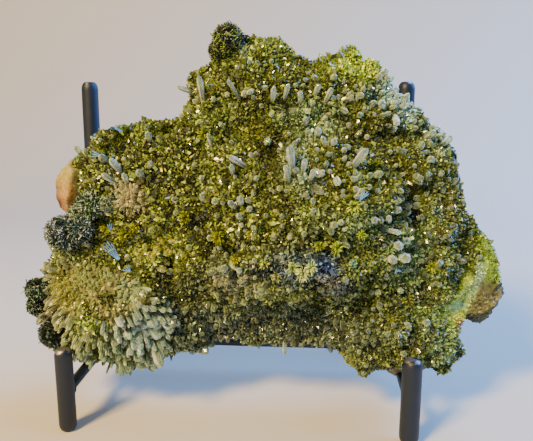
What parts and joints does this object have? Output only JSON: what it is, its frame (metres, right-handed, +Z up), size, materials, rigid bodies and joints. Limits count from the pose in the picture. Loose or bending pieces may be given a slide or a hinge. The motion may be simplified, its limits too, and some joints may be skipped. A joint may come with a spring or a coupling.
{
  "type": "mineral specimen on a display easel",
  "caption": "Cluster of green epidote crystals with quartz points on their own rock, standing on a black steel easel.",
  "frame": {"origin": "bottom centre of the bounding box, on the floor under the middle of the whole", "axes": "+X across the cluster to the right as the crystals face the viewer, -Y the side that the crystals face, +Z up"},
  "size_m": [0.1774, 0.1084, 0.1458],
  "materials": {
    "epidote": "faceted mineral, glassy crystal faces",
    "black_paint": "satin black paint"
  },
  "bodies": {
    "root": {"epidote_cluster": "epidote", "left_front_post": "black_paint", "right_front_post": "black_paint", "left_rail": "black_paint", "right_rail": "black_paint", "left_upright": "black_paint", "right_upright": "black_paint", "left_rear_leg": "black_paint", "right_rear_leg": "black_paint", "front_crossbar": "black_paint", "rear_crossbar": "black_paint"}
  },
  "joints": []
}
